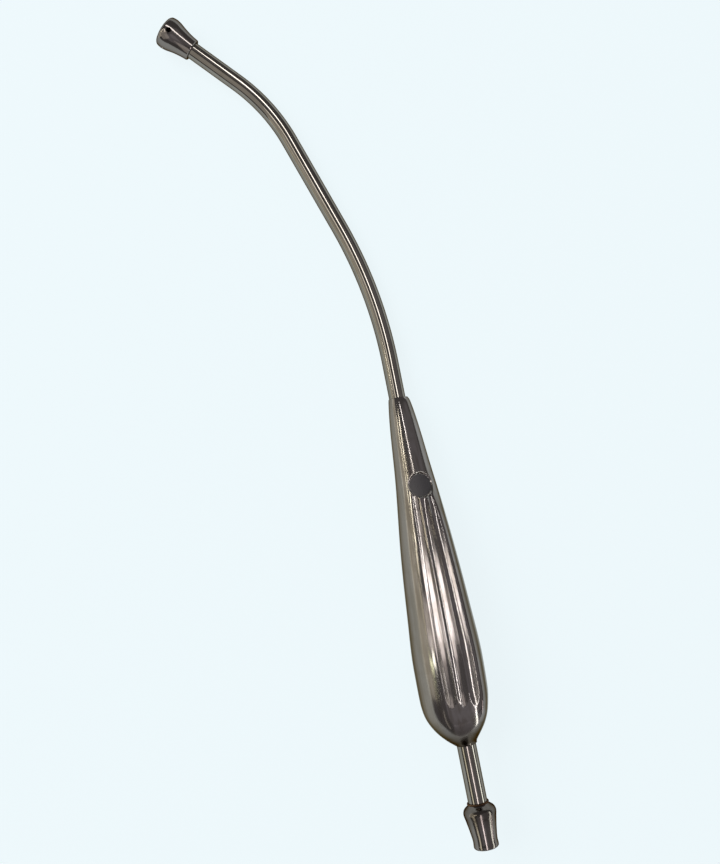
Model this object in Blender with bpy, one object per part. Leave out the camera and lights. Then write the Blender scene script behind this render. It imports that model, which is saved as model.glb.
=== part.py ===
"""Suction instrument with a long bent tube, a bell-shaped tip and a hollow, fluted handle.

A plated metal assembly, soldered into one rigid piece. The suction path is open from end to end:
the inlet and side holes of the tip, the bent front tube, which runs on through the hollow handle,
the wider rear tube that takes its end, and the hose connector.

Units are metres and +Z is up. The pieces are modelled in the handle's frame: X along the handle
towards the tip, zero at the handle's front end, Y towards the inside of the tube's bends, and Z
across the seam of the two handle halves. The whole is then laid down as it comes to rest on a
table, with the handle along X, the floor at Z = 0 and the origin below the middle of its box.
"""

import math

import bmesh
import bpy
import numpy as np
from mathutils import Matrix, Vector

MM = 0.001
SHARP_EDGE = math.radians(24.0)
TOUCHING = 1e-7
OUTLINE_ROWS = 19

# Solder films between joined pieces, left open in the solids
SOLDER_GAP = 0.1 * MM
SEAM_GAP = 0.12 * MM

# Front tube, and its bends from the handle's front end towards the tip
TUBE_OUTER_RADIUS = 2.75 * MM
TUBE_WALL = 0.5 * MM
FRONT_RUN = 12.0 * MM
LOWER_BEND_RADIUS = 144.0 * MM
LOWER_BEND_ANGLE = math.radians(19.5)
MIDDLE_RUN = 32.8 * MM
UPPER_BEND_RADIUS = 56.0 * MM
UPPER_BEND_ANGLE = math.radians(26.4)
TIP_RUN = 17.35 * MM
BEND_STEP = math.radians(2.7)
TUBE_SIDES = 24

# Rear tube, which takes the front tube's end inside the handle
REAR_TUBE_WALL = 0.3 * MM
REAR_TUBE_SHOWN = 19.0 * MM
REAR_TUBE_INSIDE = 14.0 * MM
TUBE_LAP = 8.0 * MM

# Bell-shaped tip, measured back from the middle of its domed end
TIP_LENGTH = 11.55 * MM
TIP_BELL_RADIUS = 5.2 * MM
TIP_OUTLINE = ((0.015, 0.7), (0.045, 0.88), (0.1, 0.968), (0.22, 1.0), (0.34, 0.968),
               (0.51, 0.865), (0.68, 0.78), (0.85, 0.722), (0.98, 0.695))
TIP_INLET_RADIUS = 1.3 * MM
TIP_END_WALL = 1.4 * MM
TIP_SOCKET_DEPTH = 4.6 * MM
TIP_HOLE_COUNT = 4
TIP_HOLE_RADIUS = 0.72 * MM
TIP_HOLE_PLACE = 2.9 * MM
TIP_HOLE_TURN = math.radians(14.0)
TIP_SIDES = 32
DRILL_START = 0.7 * (TUBE_OUTER_RADIUS - TUBE_WALL)
DRILL_SIDES = 16

# Hollow handle: its outline in shares of the length and the belly's radius, and how far its middle
# leans towards the inside of the bends, as a share of that radius
HANDLE_LENGTH = 114.2 * MM
HANDLE_BELLY_RADIUS = 11.45 * MM
HANDLE_OUTLINE = ((0.0115, 0.321, -0.036), (0.23, 0.556, -0.036), (0.455, 0.792, 0.004),
                  (0.62, 0.915, 0.03), (0.765, 0.997, 0.057), (0.855, 0.985, 0.077),
                  (0.905, 0.917, 0.098), (0.949, 0.722, 0.085), (0.977, 0.511, 0.07),
                  (0.993, 0.36, 0.035))
HANDLE_WALL = 0.8 * MM
HANDLE_LIP = 0.35 * MM
HANDLE_NOSE = 1.3 * MM
HANDLE_NOSE_LEAN = -0.2 * MM
PLAIN_COLUMNS = 6
NECK_ROWS = 9
SCOOP_FRONT_ROWS = 4
BELLY_ROWS = 8
SCOOP_REAR_ROWS = 5
BUTT_ROWS = 13

# Flat, slightly sunk round thumb rest on each half, places measured from the handle's front end
THUMB_REST_PLACE = 29.3 * MM
THUMB_REST_RADIUS = 3.8 * MM
THUMB_REST_DEPTH = 1.15 * MM
THUMB_REST_DRAFT = math.radians(25.0)
THUMB_REST_SIDES = 40
CUTTER_HEIGHT = 3 * THUMB_REST_DEPTH

# Scooped flutes on each half, side by side round the belly
FLUTE_COUNT = 3
FLUTE_TURN = math.radians(20.3)
FLUTE_DEPTH = 0.62 * MM
FLUTE_FRONT = 33.0 * MM
FLUTE_REAR_MARGIN = 13.7 * MM
FLUTE_END_LENGTH = 5.0 * MM
FLUTE_COLUMNS = 4

# Hose connector, an olive that narrows towards its rim: shares of its length and widest radius
CONNECTOR_LENGTH = 14.2 * MM
CONNECTOR_RADIUS = 5.38 * MM
CONNECTOR_OUTLINE = ((0.04, 0.66), (0.085, 0.81), (0.13, 0.937), (0.215, 1.0), (0.35, 0.94),
                     (0.61, 0.82), (0.86, 0.745), (0.955, 0.762), (0.985, 0.75))
CONNECTOR_FRONT_CHAMFER = 0.3 * MM
CONNECTOR_SOCKET_DEPTH = 8.0 * MM
CONNECTOR_SIDES = 28

# What follows from the sizes above
TUBE_BORE_RADIUS = TUBE_OUTER_RADIUS - TUBE_WALL
TUBE_SEAT_RADIUS = TUBE_OUTER_RADIUS + SOLDER_GAP
REAR_TUBE_OUTER_RADIUS = TUBE_SEAT_RADIUS + REAR_TUBE_WALL
REAR_SEAT_RADIUS = REAR_TUBE_OUTER_RADIUS + SOLDER_GAP
FLUTE_REAR = HANDLE_LENGTH - FLUTE_REAR_MARGIN
CONNECTOR_FRONT = -HANDLE_LENGTH - REAR_TUBE_SHOWN


def smooth_through(stations, places):
    """Heights at the places of a smooth curve through the stations that swings past none of them."""
    x, y = np.array(stations, dtype=float).T
    places = np.clip(places, x[0], x[-1])
    step = np.diff(x)
    slope = np.diff(y) / step
    tangent = np.concatenate([slope[:1], np.zeros(len(x) - 2), slope[-1:]])
    for i in range(1, len(x) - 1):
        if slope[i - 1] * slope[i] > 0:
            tangent[i] = 2 * slope[i - 1] * slope[i] / (slope[i - 1] + slope[i])
    i = np.clip(np.searchsorted(x, places, side="right") - 1, 0, len(step) - 1)
    t = (places - x[i]) / step[i]
    return (
        y[i] * (1 + 2 * t) * (1 - t) ** 2
        + y[i + 1] * t**2 * (3 - 2 * t)
        + step[i] * (tangent[i] * t * (1 - t) ** 2 - tangent[i + 1] * t**2 * (1 - t))
    )


def circle(frame, radius, sides):
    """Points round a frame's X axis, in its YZ plane."""
    turns = [2 * math.pi * (i + 0.5) / sides for i in range(sides)]
    return [frame @ Vector((0, radius * math.sin(turn), radius * math.cos(turn))) for turn in turns]


def skinned(name, rings, material, looped=True):
    """An object skinned over closed rings of points: the last meets the first, or both are capped."""
    mesh = bmesh.new()
    rows = [[mesh.verts.new(point) for point in ring] for ring in rings]
    pairs = list(zip(rows, rows[1:]))
    if looped:
        pairs.append((rows[-1], rows[0]))
    else:
        mesh.faces.new(rows[0])
        mesh.faces.new(rows[-1])
    for near, far in pairs:
        for i in range(len(near)):
            mesh.faces.new((near[i - 1], near[i], far[i], far[i - 1]))
    bmesh.ops.recalc_face_normals(mesh, faces=mesh.faces)
    data = bpy.data.meshes.new(name)
    mesh.to_mesh(data)
    mesh.free()
    data.shade_smooth()
    data.set_sharp_from_angle(angle=SHARP_EDGE)
    data.materials.append(material)
    piece = bpy.data.objects.new(name, data)
    bpy.context.scene.collection.objects.link(piece)
    return piece


def turned(name, outline, sides, material):
    """A turned piece with an open bore, from a closed outline of (x, radius) points."""
    rings = [circle(Matrix.Translation((x, 0, 0)), radius, sides) for x, radius in outline]
    return skinned(name, rings, material)


def cutter(name, base_radius, top_radius, height, sides):
    """A hidden round cutter that stands on its own XY plane."""
    mesh = bmesh.new()
    bmesh.ops.create_cone(mesh, cap_ends=True, segments=sides, radius1=base_radius,
                          radius2=top_radius, depth=height)
    bmesh.ops.translate(mesh, verts=mesh.verts, vec=(0, 0, height / 2))
    data = bpy.data.meshes.new(name)
    mesh.to_mesh(data)
    mesh.free()
    tool = bpy.data.objects.new(name, data)
    tool.hide_render = True
    tool.display_type = "WIRE"
    bpy.context.scene.collection.objects.link(tool)
    return tool


def cut_with(piece, tool):
    """Takes a cutter's shape out of a piece."""
    tool.parent = piece
    cut = piece.modifiers.new(tool.name, "BOOLEAN")
    cut.operation = "DIFFERENCE"
    cut.solver = "EXACT"
    cut.object = tool


def plated_metal(name, colour, roughness):
    """A worn metal finish."""
    material = bpy.data.materials.new(name)
    material.use_nodes = True
    shader = material.node_tree.nodes["Principled BSDF"]
    shader.inputs["Base Color"].default_value = (*colour, 1.0)
    shader.inputs["Metallic"].default_value = 1.0
    shader.inputs["Roughness"].default_value = roughness
    return material


def straight(frame, length):
    """The frame moved along its own X axis."""
    return frame @ Matrix.Translation((length, 0, 0))


def bend(frame, radius, angle):
    """Frames round a bend towards the frame's +Y side, without the first."""
    steps = math.ceil(abs(angle) / BEND_STEP)
    centre = Matrix.Translation((0, radius, 0))
    turns = [Matrix.Rotation(angle * (i + 1) / steps, 4, "Z") for i in range(steps)]
    return [frame @ centre @ turn @ centre.inverted() for turn in turns]


def tube_frames():
    """Frames along the front tube from its rear end, the last at the rim of the tip's collar."""
    rear_end = -(HANDLE_LENGTH - REAR_TUBE_INSIDE + TUBE_LAP)
    frames = [Matrix.Translation((rear_end, 0, 0)), Matrix.Translation((FRONT_RUN, 0, 0))]
    frames += bend(frames[-1], LOWER_BEND_RADIUS, LOWER_BEND_ANGLE)
    frames.append(straight(frames[-1], MIDDLE_RUN))
    frames += bend(frames[-1], UPPER_BEND_RADIUS, UPPER_BEND_ANGLE)
    frames.append(straight(frames[-1], TIP_RUN))
    return frames


def front_tube(material):
    """The bent tube, from the tip's socket through the handle into the rear tube."""
    frames = tube_frames()
    frames[-1] = straight(frames[-1], TIP_SOCKET_DEPTH - SOLDER_GAP)
    outside = [circle(frame, TUBE_OUTER_RADIUS, TUBE_SIDES) for frame in frames]
    inside = [circle(frame, TUBE_BORE_RADIUS, TUBE_SIDES) for frame in reversed(frames)]
    return skinned("front_tube", outside + inside, material)


def rear_tube(material):
    """The wider straight tube between the handle and the hose connector."""
    front = REAR_TUBE_INSIDE - HANDLE_LENGTH
    rear = CONNECTOR_FRONT - CONNECTOR_SOCKET_DEPTH + SOLDER_GAP
    outline = [
        (front, REAR_TUBE_OUTER_RADIUS),
        (rear, REAR_TUBE_OUTER_RADIUS),
        (rear, TUBE_SEAT_RADIUS),
        (front, TUBE_SEAT_RADIUS),
    ]
    return turned("rear_tube", outline, TUBE_SIDES, material)


def outline_of(shape, length, radius):
    """An outline's (distance, radius) points, evenly spread between its first and last station."""
    places = np.linspace(shape[0][0], shape[-1][0], OUTLINE_ROWS)
    return list(zip(places * length, smooth_through(shape, places) * radius))


def rim_radius(outline, length):
    """The radius at which a 45 degree chamfer from an outline's last point meets the rear face."""
    distance, radius = outline[-1]
    return radius - (length - distance)


def suction_tip(material):
    """The bell with its domed end, central inlet, ring of side holes and socket for the tube."""
    shoulder = TIP_LENGTH - TIP_SOCKET_DEPTH
    bell = outline_of(TIP_OUTLINE, TIP_LENGTH, TIP_BELL_RADIUS)
    outline = [
        (0, TIP_INLET_RADIUS),
        *bell,
        (TIP_LENGTH, rim_radius(bell, TIP_LENGTH)),
        (TIP_LENGTH, TUBE_SEAT_RADIUS),
        (shoulder, TUBE_SEAT_RADIUS),
        (shoulder, TUBE_BORE_RADIUS),
        (TIP_END_WALL, TUBE_BORE_RADIUS),
        (TIP_END_WALL, TIP_INLET_RADIUS),
    ]
    outline = [(TIP_LENGTH - distance, radius) for distance, radius in outline]
    tip = turned("suction_tip", outline, TIP_SIDES, material)
    tip.matrix_world = tube_frames()[-1]
    for number in range(TIP_HOLE_COUNT):
        turn = TIP_HOLE_TURN + 2 * math.pi * number / TIP_HOLE_COUNT
        drill = cutter(f"side_hole_{number + 1}", TIP_HOLE_RADIUS, TIP_HOLE_RADIUS, TIP_BELL_RADIUS,
                       DRILL_SIDES)
        across = Matrix.Rotation(-turn, 4, "X")
        drill.matrix_world = across @ Matrix.Translation((TIP_LENGTH - TIP_HOLE_PLACE, 0, DRILL_START))
        cut_with(tip, drill)
    return tip


def hose_connector(material):
    """The olive that the hose is pushed over, with a socket for the rear tube."""
    olive = outline_of(CONNECTOR_OUTLINE, CONNECTOR_LENGTH, CONNECTOR_RADIUS)
    outline = [
        (0, REAR_SEAT_RADIUS),
        (0, olive[0][1] - CONNECTOR_FRONT_CHAMFER),
        *olive,
        (CONNECTOR_LENGTH, rim_radius(olive, CONNECTOR_LENGTH)),
        (CONNECTOR_LENGTH, TUBE_BORE_RADIUS),
        (CONNECTOR_SOCKET_DEPTH, TUBE_BORE_RADIUS),
        (CONNECTOR_SOCKET_DEPTH, REAR_SEAT_RADIUS),
    ]
    outline = [(CONNECTOR_FRONT - distance, radius) for distance, radius in outline]
    return turned("hose_connector", outline, CONNECTOR_SIDES, material)


def handle_section(distance):
    """The handle's outer radius and lean at a distance behind its front end."""
    belly = HANDLE_BELLY_RADIUS
    radii = [(share * HANDLE_LENGTH, radius * belly) for share, radius, _ in HANDLE_OUTLINE]
    leans = [(share * HANDLE_LENGTH, lean * belly) for share, _, lean in HANDLE_OUTLINE]
    radii = [(0, TUBE_SEAT_RADIUS + HANDLE_LIP), *radii, (HANDLE_LENGTH, REAR_SEAT_RADIUS + HANDLE_LIP)]
    leans = [(0, HANDLE_NOSE_LEAN), *leans, (HANDLE_LENGTH, 0)]
    return float(smooth_through(radii, distance)), float(smooth_through(leans, distance))


def flute_depth(distance, turn):
    """How deep the flutes lie below the round surface: rows of scoops with bowl-shaped ends."""
    half = FLUTE_TURN / 2
    number = round(turn / FLUTE_TURN + (FLUTE_COUNT - 1) / 2)
    number = min(max(number, 0), FLUTE_COUNT - 1)
    across = (turn - (number - (FLUTE_COUNT - 1) / 2) * FLUTE_TURN) / half
    past_end = max(FLUTE_FRONT + FLUTE_END_LENGTH - distance, distance - FLUTE_REAR + FLUTE_END_LENGTH, 0)
    return FLUTE_DEPTH * max(0.0, 1 - across**2 - (past_end / FLUTE_END_LENGTH) ** 2)


def handle_turns():
    """Angles round a half's outer side from its crown, with a line on each ridge between flutes."""
    field = FLUTE_COUNT * FLUTE_TURN / 2
    flutes = np.linspace(-field, field, FLUTE_COUNT * FLUTE_COLUMNS + 1)
    plain = np.linspace(field, math.pi / 2, PLAIN_COLUMNS + 1)[1:]
    return [float(turn) for turn in (*-plain[::-1], *flutes, *plain)]


def handle_rows():
    """Distances behind the front end at which the handle's sections lie."""
    scoop_front = FLUTE_FRONT + FLUTE_END_LENGTH
    scoop_rear = FLUTE_REAR - FLUTE_END_LENGTH
    butt = FLUTE_REAR + (HANDLE_LENGTH - FLUTE_REAR) * np.sin(np.linspace(0, math.pi / 2, BUTT_ROWS))
    rows = [
        [0.0],
        np.linspace(HANDLE_NOSE, FLUTE_FRONT, NECK_ROWS, endpoint=False),
        np.linspace(FLUTE_FRONT, scoop_front, SCOOP_FRONT_ROWS, endpoint=False),
        np.linspace(scoop_front, scoop_rear, BELLY_ROWS, endpoint=False),
        np.linspace(scoop_rear, FLUTE_REAR, SCOOP_REAR_ROWS, endpoint=False),
        butt,
    ]
    return [float(row) for row in np.concatenate(rows)]


def rest_slope():
    """How steeply the handle widens under the thumb rest."""
    ahead, _ = handle_section(THUMB_REST_PLACE - THUMB_REST_RADIUS)
    behind, _ = handle_section(THUMB_REST_PLACE + THUMB_REST_RADIUS)
    return (behind - ahead) / (2 * THUMB_REST_RADIUS)


def skin_point(distance, turn, inset=0.0):
    """A point of the handle's skin, or of a surface at an inset below it, as (across, up)."""
    radius, lean = handle_section(distance)
    radius -= flute_depth(distance, turn) + inset
    return lean + radius * math.sin(turn), radius * math.cos(turn)


def cavity_point(distance, turn):
    """A point of the cavity's wall, pushed in below the thumb rest and kept clear of the tubes."""
    across, up = skin_point(distance, turn, HANDLE_WALL)
    behind_rest = distance - THUMB_REST_PLACE
    if abs(behind_rest) < THUMB_REST_RADIUS + 2 * HANDLE_WALL:
        middle, _ = handle_section(THUMB_REST_PLACE)
        floor = middle + rest_slope() * behind_rest - THUMB_REST_DEPTH
        up = min(up, floor - HANDLE_WALL)
    seat = TUBE_SEAT_RADIUS if distance < HANDLE_LENGTH / 2 else REAR_SEAT_RADIUS
    stretch = max(1.0, seat / math.hypot(across, up))
    return across * stretch, up * stretch


def handle_shell(name, side, material):
    """One stamped half of the handle, on the +Z side or the -Z side of the seam."""
    turns = handle_turns()
    rings = []
    for distance in handle_rows():
        section = [skin_point(distance, turn) for turn in turns]
        section += [cavity_point(distance, turn) for turn in reversed(turns[::2])]
        rings.append([Vector((-distance, y, side * (z + SEAM_GAP / 2))) for y, z in section])
    shell = skinned(name, rings, material, looped=False)
    cut_with(shell, thumb_rest_cutter(f"thumb_rest_{name}", side))
    return shell


def thumb_rest_cutter(name, side):
    """A flat-ended cutter with a bevelled wall that sinks the thumb rest into one half."""
    radius, lean = handle_section(THUMB_REST_PLACE)
    mouth = THUMB_REST_RADIUS + CUTTER_HEIGHT * math.tan(THUMB_REST_DRAFT)
    tool = cutter(name, THUMB_REST_RADIUS, mouth, CUTTER_HEIGHT, THUMB_REST_SIDES)
    floor = side * (radius - THUMB_REST_DEPTH + SEAM_GAP / 2)
    flip = Matrix.Rotation(0 if side > 0 else math.pi, 4, "X")
    tilt = Matrix.Rotation(math.atan(rest_slope()), 4, "Y")
    tool.matrix_world = Matrix.Translation((-THUMB_REST_PLACE, lean, floor)) @ flip @ tilt
    return tool


def solid_points_and_balance(pieces):
    """All corner points of the pieces, and the centre of their volume."""
    view = bpy.context.evaluated_depsgraph_get()
    points, volume, moment = [], 0.0, np.zeros(3)
    for piece in pieces:
        seen = piece.evaluated_get(view)
        mesh = seen.to_mesh()
        mesh.calc_loop_triangles()
        place = np.array(piece.matrix_world)
        corners = np.array([vertex.co for vertex in mesh.vertices]) @ place[:3, :3].T + place[:3, 3]
        triangles = corners[np.array([triangle.vertices for triangle in mesh.loop_triangles])]
        sixth = np.einsum("ij,ij->i", triangles[:, 0], np.cross(triangles[:, 1], triangles[:, 2])) / 6
        volume += sixth.sum()
        moment += (sixth[:, None] * triangles.sum(axis=1) / 4).sum(axis=0)
        points.append(corners)
        seen.to_mesh_clear()
    return np.concatenate(points), moment / volume


def tipped(points, pivot, down, aside):
    """The way down after the whole tips aside over a pivot, and the point that then lands."""
    offsets = points - points[pivot]
    reach = offsets @ aside
    tilts = np.where(reach > TOUCHING, np.arctan2(-(offsets @ down), reach), np.inf)
    landing = int(np.argmin(tilts))
    return math.cos(tilts[landing]) * down + math.sin(tilts[landing]) * aside, landing


def way_over(points, near, far, down, target):
    """The level direction square to the line between two feet, on the side of a target point."""
    aside = np.cross(down, points[far] - points[near])
    aside /= np.linalg.norm(aside)
    return aside if aside @ (target - points[near]) > 0 else -aside


def resting_down(points, balance):
    """The way down once the whole has rolled over its feet until its weight lies between three."""
    down = np.array((0.0, 0.0, -1.0))
    first = int(np.argmax(points @ down))
    lean = balance - points[first]
    lean -= lean @ down * down
    down, second = tipped(points, first, down, lean / np.linalg.norm(lean))
    down, third = tipped(points, first, down, way_over(points, first, second, down, balance))
    feet = [first, second, third]
    for _ in range(len(points)):
        for near, far, other in ((0, 1, 2), (1, 2, 0), (2, 0, 1)):
            near, far, other = feet[near], feet[far], feet[other]
            outwards = -way_over(points, near, far, down, points[other])
            if outwards @ (balance - points[near]) > TOUCHING:
                down, landing = tipped(points, near, down, outwards)
                feet = [near, far, landing]
                break
        else:
            return down
    return down


def resting_matrix(pieces):
    """Lays the whole on the floor as it comes to rest, with the handle along X."""
    points, balance = solid_points_and_balance(pieces)
    up = Vector(-resting_down(points, balance))
    along = Vector((1, 0, 0))
    along = (along - along.dot(up) * up).normalized()
    turn = Matrix((along, up.cross(along), up)).to_4x4()
    laid = points @ np.array(turn)[:3, :3].T
    low, high = laid.min(axis=0), laid.max(axis=0)
    return Matrix.Translation((-(low[0] + high[0]) / 2, -(low[1] + high[1]) / 2, -low[2])) @ turn


def build():
    """Models the pieces in the handle's frame, then lays the whole on the floor."""
    for leftover in list(bpy.data.objects):
        bpy.data.objects.remove(leftover)
    tube_steel = plated_metal("tube_metal", (0.33, 0.31, 0.28), 0.24)
    shell_steel = plated_metal("handle_metal", (0.36, 0.34, 0.33), 0.28)
    turned_steel = plated_metal("turned_metal", (0.31, 0.29, 0.28), 0.3)
    pieces = [
        suction_tip(turned_steel),
        front_tube(tube_steel),
        handle_shell("handle_shell_upper", 1, shell_steel),
        handle_shell("handle_shell_lower", -1, shell_steel),
        rear_tube(tube_steel),
        hose_connector(turned_steel),
    ]
    bpy.context.view_layer.update()
    resting_place = bpy.data.objects.new("resting_place", None)
    bpy.context.scene.collection.objects.link(resting_place)
    resting_place.matrix_world = resting_matrix(pieces)
    for piece in pieces:
        piece.parent = resting_place
    bpy.context.view_layer.update()


build()
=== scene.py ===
"""Looks of a hand-held suction instrument in worn, plated steel.

The pieces are modelled in the handle's frame: X runs along the handle towards the tip with zero at
the handle's front end, Y points to the inside of the tube's bends and Z across the two halves of
the handle. Each piece is then laid down with the resting place of the whole.
"""

from __future__ import annotations

import logging
import math
from dataclasses import dataclass, field, replace
from enum import Enum
from typing import Sequence

import bpy
import numpy as np
from mathutils import Matrix, Vector

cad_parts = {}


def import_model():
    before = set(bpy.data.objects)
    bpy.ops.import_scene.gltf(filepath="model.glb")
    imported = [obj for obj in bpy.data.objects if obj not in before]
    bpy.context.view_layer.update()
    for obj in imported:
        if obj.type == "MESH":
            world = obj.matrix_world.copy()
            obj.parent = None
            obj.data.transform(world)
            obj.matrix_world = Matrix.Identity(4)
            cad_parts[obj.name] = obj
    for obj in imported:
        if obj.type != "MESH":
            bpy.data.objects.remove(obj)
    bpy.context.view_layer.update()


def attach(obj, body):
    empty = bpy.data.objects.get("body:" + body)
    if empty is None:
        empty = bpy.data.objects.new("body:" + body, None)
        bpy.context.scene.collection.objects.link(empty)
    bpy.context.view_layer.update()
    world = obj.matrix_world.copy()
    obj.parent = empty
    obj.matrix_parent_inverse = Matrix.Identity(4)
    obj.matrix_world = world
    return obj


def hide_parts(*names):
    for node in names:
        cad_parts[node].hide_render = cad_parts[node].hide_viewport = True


LOG = logging.getLogger("suction_instrument")
MM = 0.001
SHARP_TURN = math.radians(35)
Points = np.ndarray
Socket = bpy.types.NodeSocket
Colour = tuple[float, float, float]
Spot = tuple[float, float, float]
Span = tuple[float, float]
Rows = tuple[float, float, int]  # first place, last place, how many
Outline = Sequence[Span]


def full_circle(sides: int) -> Points:
    """Angles in radians, spread evenly round a circle."""
    return 2 * np.pi * np.arange(sides) / sides


def new_object(name: str, data: bpy.types.ID) -> bpy.types.Object:
    """Adds an object to the scene.

    Args:
        name: its name.
        data: the mesh, lamp or camera that it shows.

    Returns:
        The object.
    """
    added = bpy.data.objects.new(name, data)
    bpy.context.scene.collection.objects.link(added)
    return added


class Slot(Enum):
    """The record's material slots."""

    TUBE = "tube_metal"
    HANDLE = "handle_metal"
    TURNED = "turned_metal"


@dataclass(frozen=True)
class RestingPlace:
    """Where the whole lies on the table."""

    up: Spot = (-0.0659932, 0.1542501, 0.9858254)
    offset: Spot = (0.0057778, -0.0226084, 0.0058073)

    def matrix(self) -> Matrix:
        """Works out the frame.

        Returns:
            The handle's frame as it lies on the table.
        """
        up = Vector(self.up).normalized()
        along = Vector((1, 0, 0))
        along = (along - along.dot(up) * up).normalized()
        return Matrix.Translation(self.offset) @ Matrix((along, up.cross(along), up)).to_4x4()


class SmoothCurve:
    """A curve through stations that swings past none of them, with its corners eased."""

    PROBES = 9
    END_WEIGHT = 0.1

    def __init__(self, stations: Outline, easing: float) -> None:
        """Keeps the stations and their slopes.

        Args:
            stations: (place, height) pairs in rising order of place.
            easing: half the length over which the curve is averaged.
        """
        self.x, self.y = np.array(stations, dtype=float).T
        self.easing = easing
        slope = np.diff(self.y) / np.diff(self.x)
        before, after = slope[:-1], slope[1:]
        total = np.where(before + after == 0, 1, before + after)
        inner = np.where(before * after > 0, 2 * before * after / total, 0.0)
        self.tangent = np.concatenate([slope[:1], inner, slope[-1:]])

    def plain(self, places: Points) -> Points:
        """Reads the curve without easing.

        Args:
            places: where to read it.

        Returns:
            The height at each place.
        """
        places = np.clip(places, self.x[0], self.x[-1])
        i = np.clip(np.searchsorted(self.x, places, side="right") - 1, 0, len(self.x) - 2)
        step = self.x[i + 1] - self.x[i]
        t = (places - self.x[i]) / step
        heights = self.y[i] * (1 + 2 * t) * (1 - t) ** 2 + self.y[i + 1] * t**2 * (3 - 2 * t)
        bends = self.tangent[i] * t * (1 - t) ** 2 - self.tangent[i + 1] * t**2 * (1 - t)
        return heights + step * bends

    def __call__(self, places: Points) -> Points:
        """Reads the curve with its corners eased.

        Args:
            places: where to read it.

        Returns:
            The height at each place.
        """
        places = np.asarray(places, dtype=float)
        reach = np.minimum(self.easing, np.minimum(places - self.x[0], self.x[-1] - places))
        offsets = np.linspace(-1, 1, self.PROBES)
        weights = (1 - np.abs(offsets)) + self.END_WEIGHT
        heights = sum(w * self.plain(places + o * reach) for w, o in zip(weights, offsets))
        return heights / weights.sum()


@dataclass
class Skin:
    """A closed skin over rings of equally many points, the last ring meeting the first."""

    name: str
    rings: Points
    run: Points
    masks: dict[str, Points] = field(default_factory=dict)

    def build(self, place: Matrix, material: bpy.types.Material, slot: Slot) -> bpy.types.Object:
        """Makes the object, lays it in its place and hangs it on the instrument's body.

        Args:
            place: the frame that the rings are drawn in.
            material: the piece's finish.
            slot: not used.

        Returns:
            The new piece.
        """
        rows, sides = self.rings.shape[:2]
        ring = np.arange(rows)[:, None] * sides
        here = np.arange(sides)[None, :]
        there = (here + 1) % sides
        after = ((np.arange(rows) + 1) % rows)[:, None] * sides
        quads = np.stack([ring + here, ring + there, after + there, after + here], axis=-1)
        quads = quads.reshape(-1, 4)
        turn, shift = np.array(place)[:3, :3], np.array(place)[:3, 3]
        points = self.rings.reshape(-1, 3) @ turn.T + shift
        if self._volume(points, quads) < 0:
            quads = quads[:, ::-1]
        mesh = bpy.data.meshes.new(self.name)
        mesh.from_pydata(points.tolist(), [], quads.tolist())
        mesh.shade_smooth()
        mesh.set_sharp_from_angle(angle=SHARP_TURN)
        run = mesh.attributes.new("run", "FLOAT_VECTOR", "POINT")
        run.data.foreach_set("vector", self.run.reshape(-1).astype(np.float32))
        for mask, values in self.masks.items():
            layer = mesh.attributes.new(mask, "FLOAT", "POINT")
            layer.data.foreach_set("value", values.reshape(-1).astype(np.float32))
        mesh.materials.append(material)
        piece = new_object(self.name, mesh)
        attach(piece, "root")
        LOG.info("%s: %d faces", self.name, len(mesh.polygons))
        return piece

    @staticmethod
    def _volume(points: Points, quads: Points) -> float:
        """Measures the skin, to tell which way its faces look.

        Args:
            points: its corners.
            quads: four corner numbers for each face.

        Returns:
            Six times the volume inside, below zero if the faces look inwards.
        """
        a, b, c, d = (points[quads[:, k]] for k in range(4))
        near = np.einsum("ij,ij->", a, np.cross(b, c))
        far = np.einsum("ij,ij->", a, np.cross(c, d))
        return float(near + far)


def turned_skin(name: str, outline: Outline, sides: int) -> Skin:
    """A skin turned round the X axis.

    Args:
        name: the piece's name.
        outline: closed outline of (x, radius) points.
        sides: points on each ring.

    Returns:
        The skin.
    """
    x, radius = np.array(outline, dtype=float).T
    turn = full_circle(sides)
    rings = np.stack([np.repeat(x[:, None], sides, axis=1), radius[:, None] * np.sin(turn),
                      radius[:, None] * np.cos(turn)], axis=-1)
    return Skin(name, rings, rings)


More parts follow.
